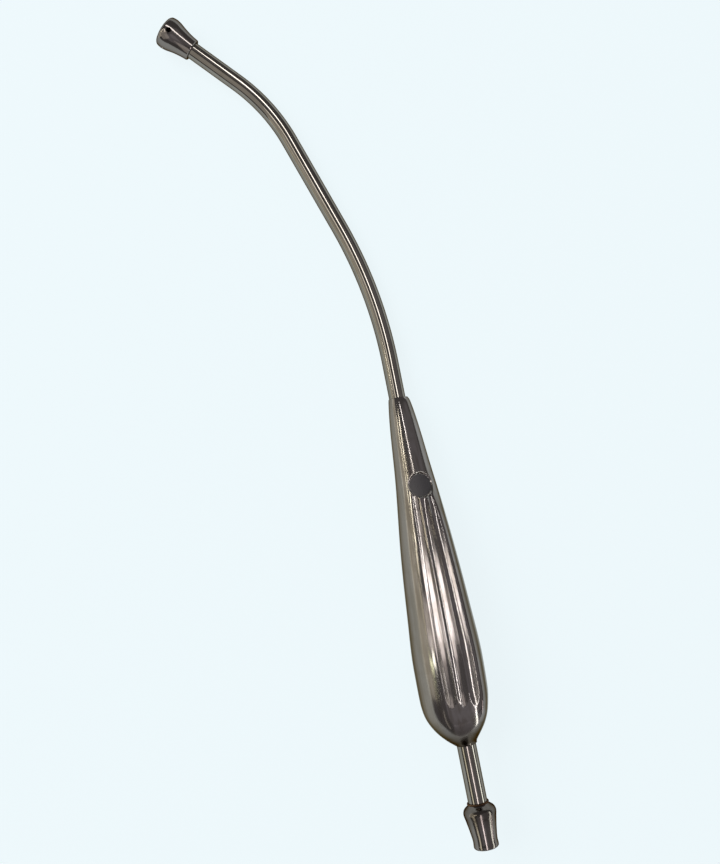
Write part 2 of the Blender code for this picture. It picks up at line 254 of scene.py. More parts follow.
@dataclass
class FrontTube:
    """The long tube with its two bends, from inside the handle to inside the tip."""

    radius: float = 2.75 * MM
    bore_radius: float = 2.25 * MM
    rear_end: float = -108.2 * MM
    front_run: float = 12.0 * MM
    lower_bend: Span = (144.0 * MM, math.radians(19.5))
    middle_run: float = 32.8 * MM
    upper_bend: Span = (56.0 * MM, math.radians(26.4))
    tip_run: float = 17.35 * MM
    socket_depth: float = 4.5 * MM
    step: float = 1.0 * MM
    sides: int = 72

    def centre_line(self) -> tuple[Points, Points, Points]:
        """Walks along the tube.

        Returns:
            Distances from the handle's front end, centres (x, y) and headings in radians.
        """
        runs = [(self.front_run, 0.0)]
        for (radius, angle), straight in ((self.lower_bend, self.middle_run),
                                          (self.upper_bend, self.tip_run)):
            runs += [(radius * angle, 1 / radius), (straight, 0.0)]
        distances, headings = [self.rear_end, 0.0], [0.0, 0.0]
        centres = [(self.rear_end, 0.0), (0.0, 0.0)]
        for length, curvature in runs:
            steps = max(1, round(length / self.step))
            for _ in range(steps):
                stride = length / steps
                halfway = headings[-1] + curvature * stride / 2
                x, y = centres[-1]
                centres.append((x + stride * math.cos(halfway), y + stride * math.sin(halfway)))
                headings.append(headings[-1] + curvature * stride)
                distances.append(distances[-1] + stride)
        return np.array(distances), np.array(centres), np.array(headings)

    def collar_frame(self) -> Matrix:
        """The frame at the rim of the tip's collar, X towards the tip's dome."""
        _, centres, headings = self.centre_line()
        return Matrix.Translation((*centres[-1], 0)) @ Matrix.Rotation(headings[-1], 4, "Z")

    def _rings(self, centres: Points, headings: Points, radius: float) -> Points:
        """Rings of one radius round the centre line.

        Args:
            centres: the rings' middles (x, y).
            headings: the tube's direction at each, in radians.
            radius: the rings' radius.

        Returns:
            The rings' points.
        """
        turn = full_circle(self.sides)
        across, up = radius * np.sin(turn), radius * np.cos(turn)
        x = centres[:, :1] - np.sin(headings)[:, None] * across
        y = centres[:, 1:] + np.cos(headings)[:, None] * across
        return np.stack([x, y, np.broadcast_to(up, x.shape)], axis=-1)

    def skin(self) -> Skin:
        """The bent tube's outside and its bore.

        Returns:
            The skin, with places along the straightened tube.
        """
        distances, centres, headings = self.centre_line()
        ahead = self.socket_depth * np.array([math.cos(headings[-1]), math.sin(headings[-1])])
        distances = np.append(distances, distances[-1] + self.socket_depth)
        centres = np.vstack([centres, centres[-1] + ahead])
        headings = np.append(headings, headings[-1])
        outside = self._rings(centres, headings, self.radius)
        inside = self._rings(centres, headings, self.bore_radius)[::-1]
        turn, shape = full_circle(self.sides), (len(distances), self.sides)
        straightened = np.stack([np.repeat(distances[:, None], self.sides, axis=1),
                                 np.broadcast_to(self.radius * np.sin(turn), shape),
                                 np.broadcast_to(self.radius * np.cos(turn), shape)], axis=-1)
        return Skin("bent_front_tube", np.concatenate([outside, inside]),
                    np.concatenate([straightened, straightened[::-1]]))


@dataclass
class RearTube:
    """The short wider tube behind the handle."""

    radius: float = 3.15 * MM
    bore_radius: float = 2.85 * MM
    front: float = -100.2 * MM
    rear: float = -141.1 * MM
    rows: int = 30
    sides: int = 72

    def skin(self) -> Skin:
        """The tube's outside and its bore.

        Returns:
            The skin.
        """
        stations = np.linspace(self.front, self.rear, self.rows)
        outline = [(x, self.radius) for x in stations]
        outline += [(x, self.bore_radius) for x in stations[::-1]]
        return turned_skin("straight_rear_tube", outline, self.sides)


@dataclass
class BellTip:
    """The bell-shaped tip with its domed end, inlet, side holes and socket."""

    length: float = 11.55 * MM
    bell_radius: float = 5.2 * MM
    outline: Outline = ((0.015, 0.7), (0.045, 0.88), (0.1, 0.968), (0.22, 1.0), (0.34, 0.968),
                        (0.51, 0.865), (0.68, 0.78), (0.85, 0.722), (0.98, 0.695))
    dome_rows: Rows = (0.015, 0.12, 22)
    bell_rows: Rows = (0.12, 0.98, 50)
    easing: float = 0.04
    rim_chamfer: float = 0.02
    inlet_chamfer: float = 0.15 * MM
    inlet_radius: float = 1.3 * MM
    end_wall: float = 1.4 * MM
    socket_depth: float = 4.6 * MM
    seat_radius: float = 2.85 * MM
    bore_radius: float = 2.25 * MM
    hole_radius: float = 0.72 * MM
    hole_place: float = 2.9 * MM
    hole_turn: float = math.radians(14.0)
    holes: int = 4
    drill_start: float = 0.6
    drill_profile: Outline = ((0.93, 1.0), (0.99, 1.16), (1.2, 1.9))
    drill_sides: int = 32
    sides: int = 128

    def skin(self) -> Skin:
        """The turned bell, its collar's rim at zero and its dome at +X.

        Returns:
            The skin, without the side holes.
        """
        places = np.concatenate([np.linspace(*self.dome_rows)[:-1], np.linspace(*self.bell_rows)])
        radii = SmoothCurve(self.outline, self.easing)(places) * self.bell_radius
        rim = radii[-1] - self.rim_chamfer * self.length
        outline = [(0.0, self.inlet_radius + self.inlet_chamfer),
                   *zip(places * self.length, radii),
                   (self.length, rim), (self.length, self.seat_radius),
                   (self.length - self.socket_depth, self.seat_radius),
                   (self.length - self.socket_depth, self.bore_radius),
                   (self.end_wall, self.bore_radius), (self.end_wall, self.inlet_radius),
                   (self.inlet_chamfer, self.inlet_radius)]
        return turned_skin("bell_tip", [(self.length - x, r) for x, r in outline], self.sides)

    def drill(self, piece: bpy.types.Object, frame: Matrix, number: int) -> None:
        """Drills one side hole with an eased mouth.

        Args:
            piece: the tip.
            frame: where the tip lies.
            number: which of the holes, from nought.
        """
        turn = self.hole_turn + 2 * math.pi * number / self.holes
        stations = [(self.drill_start * self.bore_radius, self.hole_radius)]
        stations += [(depth * self.bell_radius, width * self.hole_radius)
                     for depth, width in self.drill_profile]
        sides, top = self.drill_sides, self.drill_sides * (len(stations) - 1)
        angles = full_circle(sides)
        points = [(r * math.cos(a), r * math.sin(a), z) for z, r in stations for a in angles]
        faces = [tuple(range(sides))[::-1], tuple(range(top, top + sides))]
        faces += [(row + i, row + (i + 1) % sides, row + sides + (i + 1) % sides, row + sides + i)
                  for row in range(0, top, sides) for i in range(sides)]
        mesh = bpy.data.meshes.new(f"side_drill_{number + 1}")
        mesh.from_pydata(points, [], faces)
        bit = new_object(mesh.name, mesh)
        shift = Matrix.Translation((self.length - self.hole_place, 0, 0))
        bit.matrix_world = frame @ (Matrix.Rotation(-turn, 4, "X") @ shift)
        cut = piece.modifiers.new(bit.name, "BOOLEAN")
        cut.operation, cut.solver, cut.object = "DIFFERENCE", "EXACT", bit
        bpy.context.view_layer.update()
        depsgraph = bpy.context.evaluated_depsgraph_get()
        drilled = bpy.data.meshes.new_from_object(piece.evaluated_get(depsgraph))
        piece.modifiers.clear()
        piece.data = drilled
        bpy.data.objects.remove(bit)
        drilled.name = piece.name


@dataclass
class HoseOlive:
    """The olive that the hose is pushed over."""

    front: float = -133.2 * MM
    length: float = 14.2 * MM
    radius: float = 5.38 * MM
    outline: Outline = ((0.04, 0.66), (0.085, 0.81), (0.13, 0.937), (0.215, 1.0), (0.35, 0.94),
                        (0.61, 0.82), (0.86, 0.745), (0.955, 0.762), (0.985, 0.75))
    rows: Rows = (0.04, 0.985, 76)
    easing: float = 0.035
    front_chamfer: float = 0.3 * MM
    rim_chamfer: float = 0.2 * MM
    seat_radius: float = 3.25 * MM
    bore_radius: float = 2.25 * MM
    socket_depth: float = 8.0 * MM
    sides: int = 128

    def skin(self) -> Skin:
        """The turned olive.

        Returns:
            The skin.
        """
        places = np.linspace(*self.rows)
        radii = SmoothCurve(self.outline, self.easing)(places) * self.radius
        outline = [(0.0, self.seat_radius), (0.0, radii[0] - self.front_chamfer),
                   *zip(places * self.length, radii),
                   (self.length, radii[-1] - self.rim_chamfer), (self.length, self.bore_radius),
                   (self.socket_depth, self.bore_radius), (self.socket_depth, self.seat_radius)]
        return turned_skin("hose_olive", [(self.front - x, r) for x, r in outline], self.sides)


@dataclass
class GripHandle:
    """The pear-shaped handle: two fluted halves soldered and ground flush at their seam."""

    length: float = 114.2 * MM
    belly_radius: float = 11.45 * MM
    outline: Sequence[tuple[float, float, float]] = (
        (0.0115, 0.321, -0.036), (0.23, 0.556, -0.036), (0.455, 0.792, 0.004), (0.62, 0.915, 0.03),
        (0.765, 0.997, 0.057), (0.855, 0.985, 0.077), (0.905, 0.917, 0.098), (0.949, 0.722, 0.085),
        (0.977, 0.511, 0.07), (0.993, 0.36, 0.035))
    easing: float = 3 * MM
    front_seat: float = 2.85 * MM
    rear_seat: float = 3.25 * MM
    seat_step: float = -99.9 * MM
    lip: float = 0.35 * MM
    nose_lean: float = -0.2 * MM
    ridge_turns: Sequence[float] = (-20.8, -6.9, 11.7, 32.6)
    flute_depths: Sequence[float] = (0.5 * MM, 0.37 * MM, 0.33 * MM)
    flute_front: float = 29.0 * MM
    flute_rear: float = 100.5 * MM
    flute_front_end: float = 8.0 * MM
    flute_rear_end: float = 5.0 * MM
    flute_softness: float = 0.16
    painted_highlight_width: float = 0.12
    painted_highlight_reach: float = 1.1
    face_turn: float = math.radians(21.0)
    face_power: float = 5.0
    face_trim: float = 0.05
    face_front: Span = (30.0 * MM, 46.0 * MM)
    face_rear: float = 16.0 * MM
    rest_place: float = 29.5 * MM
    rest_radius: float = 3.7 * MM
    rest_shift: float = 0.1 * MM
    rest_depth: float = 0.75 * MM
    rest_crown: float = 0.055 / MM
    rest_draft: float = math.radians(38.0)
    rest_softness: float = 0.16 * MM
    rest_reach: float = 2.5 * MM
    rest_edge: float = 0.15 * MM
    rest_contact: float = 0.1 * MM
    ground_from: float = 0.78
    ground_blend: float = 0.1
    rows_mm: Sequence[tuple[float, float, float]] = (  # from, to, apart
        (0, 1.4, 0.2), (1.4, 24.6, 0.8), (24.6, 34.2, 0.12), (34.2, 42, 0.3), (42, 92, 0.9),
        (92, 102, 0.3), (102, 113.2, 0.4), (113.2, 114.2, 0.2))
    columns: int = 300
    crowding: float = 0.22

    def __post_init__(self) -> None:
        """Draws the outline and the line of the middle."""
        belly = self.belly_radius
        radii = [(share * self.length, radius * belly) for share, radius, _ in self.outline]
        leans = [(share * self.length, lean * belly) for share, _, lean in self.outline]
        self.radius_at = SmoothCurve([(0, self.front_seat + self.lip), *radii,
                                      (self.length, self.rear_seat + self.lip)], self.easing)
        self.lean_at = SmoothCurve([(0, self.nose_lean), *leans, (self.length, 0)], self.easing)

    def rows(self) -> Points:
        """Distances of the sections behind the front end, closest together at the thumb rest."""
        rows = [np.arange(low, high - step / 2, step) for low, high, step in self.rows_mm]
        return np.append(np.concatenate(rows), self.rows_mm[-1][1]) * MM

    def turns(self) -> Points:
        """Angles round the handle from its upper crown, closest together over the crowns."""
        even = np.linspace(0, 2 * np.pi, self.columns, endpoint=False)
        return even - self.crowding * np.sin(2 * even)

    def faced(self, distance: Points, turn: Points) -> Points:
        """How far a section stands out from a circle: its upper half is flatter, for the flutes.

        Args:
            distance: distances behind the front end.
            turn: angles from the upper crown.

        Returns:
            Shares of the round radius.
        """
        begin, full = self.face_front
        grown = (distance - begin) / (full - begin)
        flat = np.clip(np.minimum(grown, (self.length - distance) / self.face_rear), 0, 1)
        flat = flat * flat * (3 - 2 * flat)
        place = self.face_turn - turn
        place = np.arctan2(np.sin(place), np.cos(place))
        power = 2 + (self.face_power - 2) * flat * ((place > 0) & (place < np.pi / 2))
        trim = 1 - self.face_trim * flat * np.maximum(np.cos(place), 0) ** 2
        up, across = np.abs(np.cos(place)), np.abs(np.sin(place))
        return trim * (up**power + across**power) ** (-1 / power)

    def scooped(self, distance: Points, turn: Points) -> tuple[Points, Points]:
        """The flutes: rows of scoops with bowl-shaped ends.

        Args:
            distance: distances behind the front end.
            turn: angles from the upper crown.

        Returns:
            Depths below the plain surface, and how close each point lies to a ridge or a flute's end,
            which marks where a highlight is painted.
        """
        ridges = np.radians(self.ridge_turns)
        folded = np.arctan2(np.sin(turn), np.abs(np.cos(turn)))
        number = np.clip(np.searchsorted(ridges, folded) - 1, 0, len(ridges) - 2)
        half = (ridges[number + 1] - ridges[number]) / 2
        across = (folded - ridges[number]) / half - 1
        ahead = (self.flute_front + self.flute_front_end - distance) / self.flute_front_end
        behind = (distance - self.flute_rear + self.flute_rear_end) / self.flute_rear_end
        past = np.maximum(np.maximum(ahead, behind), 0)
        inside = 1 - across**2 - past**2
        depth = 0.5 * (inside + np.sqrt(inside**2 + self.flute_softness**2))
        # marks the ridges and the flutes' ends, where a highlight is painted
        crest = np.exp(-(inside / self.painted_highlight_width) ** 2) * (past < self.painted_highlight_reach)
        return np.array(self.flute_depths)[number] * depth, crest

    def skin(self) -> Skin:
        """The handle's outside, and the long seat of the tubes through its middle.

        Returns:
            The skin, with masks of its ridges' painted highlight, thumb rests and ground seam.
        """
        distance, turn = np.meshgrid(self.rows(), self.turns(), indexing="ij")
        depth, crest = self.scooped(distance, turn)
        radius = self.radius_at(distance) * self.faced(distance, turn) - depth
        across = self.lean_at(distance) + radius * np.sin(turn)
        up = radius * np.cos(turn)
        up, floor = self._with_rests(distance, across, up)
        outside = np.stack([-distance, across, up], axis=-1)
        seat_rows = [(0.0, self.front_seat), (self.seat_step, self.front_seat),
                     (self.seat_step, self.rear_seat), (-self.length, self.rear_seat)]
        angles = self.turns()
        seat = np.stack([np.stack([np.full_like(angles, x), r * np.sin(angles),
                                   r * np.cos(angles)], axis=-1) for x, r in seat_rows[::-1]])
        side = np.abs(np.sin(turn))
        ground = np.clip((side - self.ground_from) / self.ground_blend, 0, 1)
        masks = {name: np.concatenate([values, np.zeros(seat.shape[:2])])
                 for name, values in (("crest", crest), ("rest_floor", floor), ("ground", ground))}
        rings = np.concatenate([outside, seat])
        return Skin("fluted_handle", rings, rings, masks)

    def _with_rests(self, distance: Points, across: Points, up: Points) -> tuple[Points, Points]:
        """Sinks a thumb rest into each side.

        Args:
            distance: distances behind the front end.
            across: places towards the inside of the bends.
            up: heights over the seam.

        Returns:
            The new heights, and a mask of the rests' floors.
        """
        ahead, behind = self.radius_at(np.array([self.rest_place - self.rest_radius,
                                                 self.rest_place + self.rest_radius]))
        slope = (behind - ahead) / (2 * self.rest_radius)
        level = float(self.radius_at(np.array([self.rest_place]))[0]) - self.rest_depth
        lean = float(self.lean_at(np.array([self.rest_place]))[0]) + self.rest_shift
        along = distance - self.rest_place
        out = np.hypot(along, across - lean) - self.rest_radius
        wall = np.maximum(out, 0) / math.tan(self.rest_draft)
        crown = self.rest_crown * (across - lean + self.rest_shift) ** 2
        floor = level + slope * along - crown + wall
        gap = floor - np.abs(up)
        sunk = np.abs(up) + 0.5 * (gap - np.sqrt(gap**2 + self.rest_softness**2))
        near = out < self.rest_reach
        within = np.clip(-out / self.rest_edge, 0, 1)
        return np.where(near, np.sign(up) * sunk, up), within * (gap < self.rest_contact) * near


@dataclass(frozen=True)
class SolderRing:
    """A thin fillet of solder where two pieces meet."""

    name: str
    place: float
    inner: float
    outer: float
    half_width: float
    facets: int = 14
    sides: int = 96

    def skin(self) -> Skin:
        """The fillet, as a ring round the tube.

        Returns:
            The skin.
        """
        middle, half = (self.inner + self.outer) / 2, (self.outer - self.inner) / 2
        outline = [(self.place + self.half_width * math.cos(a), middle + half * math.sin(a))
                   for a in full_circle(self.facets)]
        return turned_skin(self.name, outline, self.sides)


class Effect(Enum):
    """The effects that more than one finish uses."""

    GRAIN = "polishing_grain"
    TARNISH = "tarnish_blotches"
    PITS = "fine_pits"


class Mixture(Enum):
    """What a mix works on: its type, the place of its first input and that of its output."""

    NUMBER = ("FLOAT", 2, 0)
    COLOUR = ("RGBA", 6, 2)


class NodeSheet:
    """A node tree with short ways to add and join its nodes."""

    NOISE_ROUGHNESS = 0.6

    def __init__(self, tree: bpy.types.NodeTree) -> None:
        """Keeps the tree."""
        self.tree = tree

    def add(self, kind: str, **values: object) -> bpy.types.Node:
        """Adds a node and sets its properties.

        Args:
            kind: the node's type.
            **values: its properties.

        Returns:
            The new node.
        """
        node = self.tree.nodes.new(kind)
        for name, value in values.items():
            setattr(node, name, value)
        return node

    def feed(self, socket: Socket, value: object) -> None:
        """Joins an input to an output, or sets it; a colour gets its alpha.

        Args:
            socket: the input.
            value: an output, a number, a vector or a colour.
        """
        if isinstance(value, Socket):
            self.tree.links.new(value, socket)
        else:
            socket.default_value = (*value, 1.0) if socket.type == "RGBA" else value

    def put(self, node: bpy.types.Node, **values: object) -> bpy.types.Node:
        """Sets or joins a node's inputs.

        Args:
            node: the node.
            **values: what goes into each input, named with _ for a blank.

        Returns:
            The same node.
        """
        for name, value in values.items():
            self.feed(node.inputs[name.replace("_", " ")], value)
        return node

    def math(self, operation: str, *terms: object) -> Socket:
        """A sum or another operation.

        Args:
            operation: its name.
            *terms: numbers or outputs.

        Returns:
            The result's output.
        """
        node = self.add("ShaderNodeMath", operation=operation)
        for socket, term in zip(node.inputs, terms):
            self.feed(socket, term)
        return node.outputs[0]

    def share(self, mask: Socket, amount: float) -> Socket:
        """A mask turned down to an amount."""
        return self.math("MULTIPLY", mask, amount)

    def span(self, value: Socket, low: float, high: float, to_low: float = 0.0,
             to_high: float = 1.0) -> Socket:
        """A value stretched smoothly from one range to another.

        Args:
            value: the value.
            low: where the range starts.
            high: where it ends.
            to_low: the result at its start.
            to_high: the result at its end.

        Returns:
            The result's output.
        """
        node = self.add("ShaderNodeMapRange", interpolation_type="SMOOTHSTEP")
        self.put(node, Value=value, From_Min=low, From_Max=high, To_Min=to_low, To_Max=to_high)
        return node.outputs[0]

    def noise(self, place: Socket, scale: float | Socket, detail: float = 1.0) -> Socket:
        """Plain noise between nought and one.

        Args:
            place: where it is read.
            scale: how fine it is.
            detail: how many finer layers it has.

        Returns:
            The noise's output.
        """
        node = self.add("ShaderNodeTexNoise")
        self.put(node, Vector=place, Scale=scale, Detail=detail, Roughness=self.NOISE_ROUGHNESS)
        return node.outputs["Fac"]

    def mixed(self, share: Socket, first: object, second: object,
              kind: Mixture = Mixture.COLOUR) -> Socket:
        """One colour laid over another, or one number faded into another.

        Args:
            share: how much of the second shows.
            first: the colour below, or the number to start from.
            second: the colour or number that takes its place.
            kind: whether they are colours or numbers.

        Returns:
            The result's output.
        """
        data_type, place, result = kind.value
        node = self.add("ShaderNodeMix", data_type=data_type)
        for number, value in ((0, share), (place, first), (place + 1, second)):
            self.feed(node.inputs[number], value)
        return node.outputs[result]

    def group(self, effect: Effect, **values: object) -> bpy.types.Node:
        """A shared effect with its own values."""
        node = self.add("ShaderNodeGroup", node_tree=bpy.data.node_groups[effect.value])
        return self.put(node, **values)


class SharedEffects:
    """Makes the effects that more than one finish uses."""

    FINE_DETAIL = 4.0
    COARSE_DETAIL = 2.0
    COARSENESS = 0.22
    BLOTCH_DETAIL = 3.0
    BLOTCH_SPAN = (0.42, 0.68)
    DOT_SPAN = (0.03, 0.14)
    PATCH_FINENESS = 0.18
    PATCH_SPAN = (0.56, 0.66)

    def build(self) -> None:
        """Makes every effect's node group."""
        self._grain()
        self._tarnish()
        self._pits()

    @staticmethod
    def _sheet(effect: Effect, inputs: Sequence[tuple[str, str]], outputs: Sequence[str]
               ) -> tuple[NodeSheet, bpy.types.bpy_prop_collection, bpy.types.Node]:
        """An empty group.

        Args:
            effect: the effect that the group is for.
            inputs: names and kinds of its inputs.
            outputs: names of its number outputs.

        Returns:
            Its sheet, the places where its inputs come in and the node with its outputs.
        """
        tree = bpy.data.node_groups.new(effect.value, "ShaderNodeTree")
        for label, kind in inputs:
            tree.interface.new_socket(label, in_out="INPUT", socket_type=f"NodeSocket{kind}")
        for label in outputs:
            tree.interface.new_socket(label, in_out="OUTPUT", socket_type="NodeSocketFloat")
        sheet = NodeSheet(tree)
        return sheet, sheet.add("NodeGroupInput").outputs, sheet.add("NodeGroupOutput")

    def _grain(self) -> None:
        """Fine and coarse marks drawn out in one direction."""
        inputs = (("Place", "Vector"), ("Stretch", "Vector"), ("Fineness", "Float"))
        sheet, source, sink = self._sheet(Effect.GRAIN, inputs, ("Fine", "Coarse"))
        drawn = sheet.add("ShaderNodeVectorMath", operation="MULTIPLY")
        sheet.tree.links.new(source["Place"], drawn.inputs[0])
        sheet.tree.links.new(source["Stretch"], drawn.inputs[1])
        fine = sheet.noise(drawn.outputs[0], source["Fineness"], self.FINE_DETAIL)
        fewer = sheet.share(source["Fineness"], self.COARSENESS)
        coarse = sheet.noise(drawn.outputs[0], fewer, self.COARSE_DETAIL)
        sheet.put(sink, Fine=fine, Coarse=coarse)

    def _tarnish(self) -> None:
        """Soft blotches."""
        inputs = (("Place", "Vector"), ("Fineness", "Float"))
        sheet, source, sink = self._sheet(Effect.TARNISH, inputs, ("Mask",))
        blotches = sheet.noise(source["Place"], source["Fineness"], self.BLOTCH_DETAIL)
        sheet.put(sink, Mask=sheet.span(blotches, *self.BLOTCH_SPAN))

    def _pits(self) -> None:
        """Small dark pits, in some places only."""
        inputs = (("Place", "Vector"), ("Fineness", "Float"))
        sheet, source, sink = self._sheet(Effect.PITS, inputs, ("Mask",))
        cells = sheet.add("ShaderNodeTexVoronoi")
        sheet.put(cells, Vector=source["Place"], Scale=source["Fineness"])
        dots = sheet.span(cells.outputs["Distance"], *self.DOT_SPAN, 1.0, 0.0)
        wide = sheet.share(source["Fineness"], self.PATCH_FINENESS)
        patches = sheet.span(sheet.noise(source["Place"], wide), *self.PATCH_SPAN)
        sheet.put(sink, Mask=sheet.math("MULTIPLY", dots, patches))


@dataclass(frozen=True)
class SteelFinish:
    """A worn, plated steel with the marks of its polishing."""

    name: str
    colour: Colour
    stain: Colour
    roughness: float
    grain_height: float = 0.0025
    grain_fineness: float = 2600.0
    grain_stretch: Spot = (0.02, 1.0, 1.0)
    waviness: float = 0.015
    wave_fineness: float = 110.0
    stain_share: float = 0.35
    stain_fineness: float = 190.0
    stain_roughness: float = 0.03
    streak_share: float = 0.5
    streak_span: Span = (0.46, 0.64)
    pit_share: float = 0.5
    pit_colour: Colour = (0.03, 0.025, 0.02)
    pit_fineness: float = 900.0
    pit_depth: float = 0.008
    swing_span: Span = (0.25, 0.75)
    roughness_swing: Span = (-0.03, 0.04)
    edge_tint: Colour = (0.3, 0.27, 0.22)
    heat_colour: Colour = (0.085, 0.071, 0.058)
    heat_share: float = 0.0
    heat_roughness: float = 0.08
    heat_reach: Span = (0.0, 1.0)

    def build(self) -> bpy.types.Material:
        """Makes the material.

        Returns:
            The finish, ready for its piece.
        """
        material = bpy.data.materials.new(self.name)
        material.use_nodes = True
        sheet = NodeSheet(material.node_tree)
        run = sheet.add("ShaderNodeAttribute", attribute_name="run").outputs["Vector"]
        grain = sheet.group(Effect.GRAIN, Place=run, Stretch=self.grain_stretch,
                            Fineness=self.grain_fineness).outputs
        stains = sheet.group(Effect.TARNISH, Place=run, Fineness=self.stain_fineness).outputs["Mask"]
        pits = sheet.group(Effect.PITS, Place=run, Fineness=self.pit_fineness).outputs["Mask"]
        streaks = sheet.span(grain["Coarse"], *self.streak_span, 0.0, self.streak_share)
        colour = sheet.mixed(sheet.share(stains, self.stain_share), self.colour, self.stain)
        colour = sheet.mixed(streaks, colour, self.stain)
        colour = sheet.mixed(sheet.share(pits, self.pit_share), colour, self.pit_colour)
        smoothest, roughest = (self.roughness + swing for swing in self.roughness_swing)
        roughness = sheet.span(grain["Coarse"], *self.swing_span, smoothest, roughest)
        roughness = sheet.math("ADD", roughness, sheet.share(stains, self.stain_roughness))
        colour, roughness = self.zones(sheet, colour, roughness)
        along = sheet.put(sheet.add("ShaderNodeSeparateXYZ"), Vector=run).outputs["X"]
        heat = sheet.span(along, *self.heat_reach, self.heat_share, 0.0)
        colour = sheet.mixed(heat, colour, self.heat_colour)
        roughness = sheet.math("ADD", roughness, sheet.share(heat, self.heat_roughness))
        waves = sheet.noise(run, self.wave_fineness)
        height = sheet.math("ADD", sheet.share(grain["Fine"], self.grain_height),
                            sheet.share(waves, self.waviness))
        height = sheet.math("SUBTRACT", height, sheet.share(pits, self.pit_depth))
        bump = sheet.put(sheet.add("ShaderNodeBump"), Height=height, Distance=MM, Strength=1.0)
        sheet.put(material.node_tree.nodes["Principled BSDF"], Base_Color=colour, Metallic=1.0,
                  Roughness=roughness, Normal=bump.outputs[0], Specular_Tint=self.edge_tint)
        return material

    def zones(self, sheet: NodeSheet, colour: Socket, roughness: Socket) -> tuple[Socket, Socket]:
        """The colour and roughness with the piece's own zones; a plain piece has none."""
        return colour, roughness


@dataclass(frozen=True)
class Zone:
    """A part of a piece with a look of its own, by the name of its mask."""

    mask: str
    colour: Colour
    share: float
    roughness: float


@dataclass(frozen=True)
class HandleFinish(SteelFinish):
    """The handle's steel, with a painted highlight on its ridges, ground at the seam and dull in the thumb
    rest.
    """

    looks: tuple[Zone, ...] = (Zone("ground", (0.235, 0.2, 0.16), 0.6, 0.24),
                               # a light pinkish colour painted along the ridges and the flutes' ends as a
                               # highlight
                               Zone("crest", (0.4, 0.375, 0.37), 0.25, 0.12),
                               Zone("rest_floor", (0.13, 0.124, 0.128), 0.95, 0.7))

    def zones(self, sheet: NodeSheet, colour: Socket, roughness: Socket) -> tuple[Socket, Socket]:
        """The painted highlight on the ridges, the ground band at the seam and the thumb rests.

        Args:
            sheet: the material's nodes.
            colour: the plain steel's colour.
            roughness: the plain steel's roughness.

        Returns:
            The colour and roughness with the zones laid over them.
        """
        for zone in self.looks:
            mask = sheet.add("ShaderNodeAttribute", attribute_name=zone.mask).outputs["Fac"]
            share = sheet.share(mask, zone.share)
            colour = sheet.mixed(share, colour, zone.colour)
            roughness = sheet.mixed(share, roughness, zone.roughness, Mixture.NUMBER)
        return colour, roughness


class Aim(Enum):
    """The pieces that a lamp lights; light linking keeps it off the others."""

    ALL = ()
    HANDLE = ("fluted_handle",)
    FLOOR = ("floor",)
    TUBE = ("bent_front_tube",)
    TIP = ("bell_tip",)
    FRONT = ("bent_front_tube", "bell_tip")
    REAR = ("straight_rear_tube", "hose_olive")


@dataclass(frozen=True)
class PanelLamp:
    """A flat lamp between the middles of its two short sides, facing the table."""

    name: str
    start: Spot
    end: Spot
    width: float
    radiance: float
    colour: Colour = (1.0, 1.0, 1.0)
    aim: Aim = Aim.ALL

    def build(self) -> None:
        """Hangs the lamp so that it faces the table's middle."""
        start, end = Vector(self.start), Vector(self.end)
        middle, along = (start + end) / 2, end - start
        data = bpy.data.lights.new(self.name, "AREA")
        data.shape = "RECTANGLE"
        data.size, data.size_y = along.length, self.width
        data.energy = self.radiance * math.pi * along.length * self.width
        data.color = self.colour
        lamp = new_object(self.name, data)
        side = along.normalized()
        back = (middle - middle.dot(side) * side).normalized()
        turn = Matrix((side, back.cross(side), back)).transposed().to_4x4()
        lamp.matrix_world = Matrix.Translation(middle) @ turn
        lamp.visible_camera = False
        if self.aim is not Aim.ALL:
            lit = bpy.data.collections.get(self.aim.name) or bpy.data.collections.new(self.aim.name)
            for name in self.aim.value:
                if name not in lit.objects:
                    lit.objects.link(bpy.data.objects[name])
            lamp.light_linking.receiver_collection = lit


